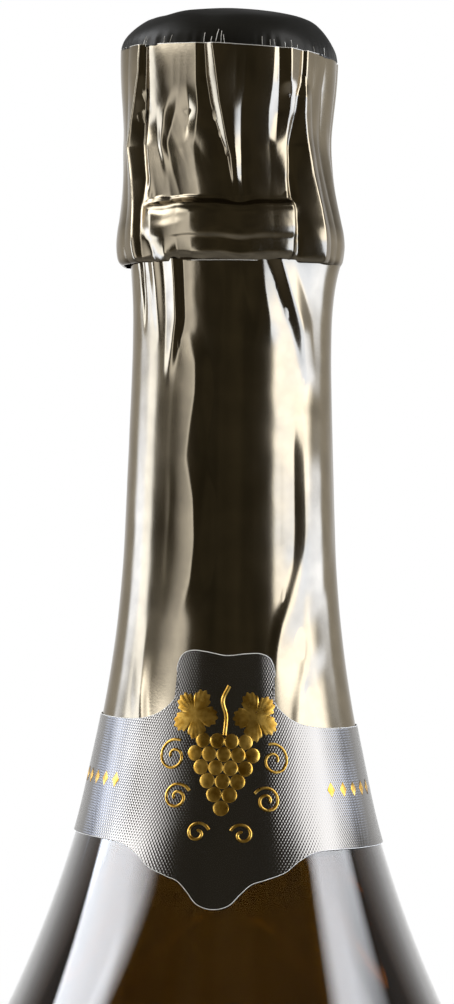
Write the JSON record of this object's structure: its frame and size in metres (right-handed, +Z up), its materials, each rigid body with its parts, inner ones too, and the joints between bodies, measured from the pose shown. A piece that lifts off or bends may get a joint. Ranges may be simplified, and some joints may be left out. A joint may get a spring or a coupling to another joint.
{
  "type": "sparkling wine bottle",
  "caption": "Sealed sparkling wine bottle with punted glass, mushroom cork, wire cage with plaque, foil capsule, collar label and body labels; foil, cage and cork lift off.",
  "frame": {"origin": "centre of the standing ring, on the surface that the bottle stands on", "axes": "+Z up along the bottle's axis to the cork; the labels' front looks along -Y; +X is the right side seen from the front"},
  "size_m": [0.0884, 0.0894, 0.3215],
  "materials": {
    "glass": "polished",
    "wine": "gloss",
    "cork": "matte",
    "cork_disc": "matte",
    "plaque": "satin",
    "wire": "satin",
    "foil": "satin",
    "foil_top": "satin",
    "label": "satin"
  },
  "bodies": {
    "bottle": {"glass_bottle": "glass", "wine": "wine", "foil_neck_sleeve": "foil", "neck_label": "label", "front_label": "label", "back_label": "label"},
    "cork": {"cork_body": "cork", "cork_disc_upper": "cork_disc", "cork_disc_lower": "cork_disc"},
    "wire_cage": {"cage_plaque": "plaque", "cage_frame": "wire", "cage_belt": "wire", "cage_loop": "wire"},
    "foil_cap": {"foil_hood": "foil", "foil_top_disc": "foil_top"}
  },
  "joints": [
    {"name": "cork_pull", "type": "slide", "parent": "bottle", "child": "cork", "axis": [0, 0, 1], "range_m": [0, 0.035], "deforming": ["cage_frame", "cage_belt"]},
    {"name": "cage_lift", "type": "slide", "parent": "cork", "child": "wire_cage", "axis": [0, 0, 1], "range_m": [0, 0.045], "deforming": ["cage_frame", "cage_belt"]},
    {"name": "foil_lift", "type": "slide", "parent": "wire_cage", "child": "foil_cap", "axis": [0, 0, 1], "range_m": [0, 0.05]}
  ]
}
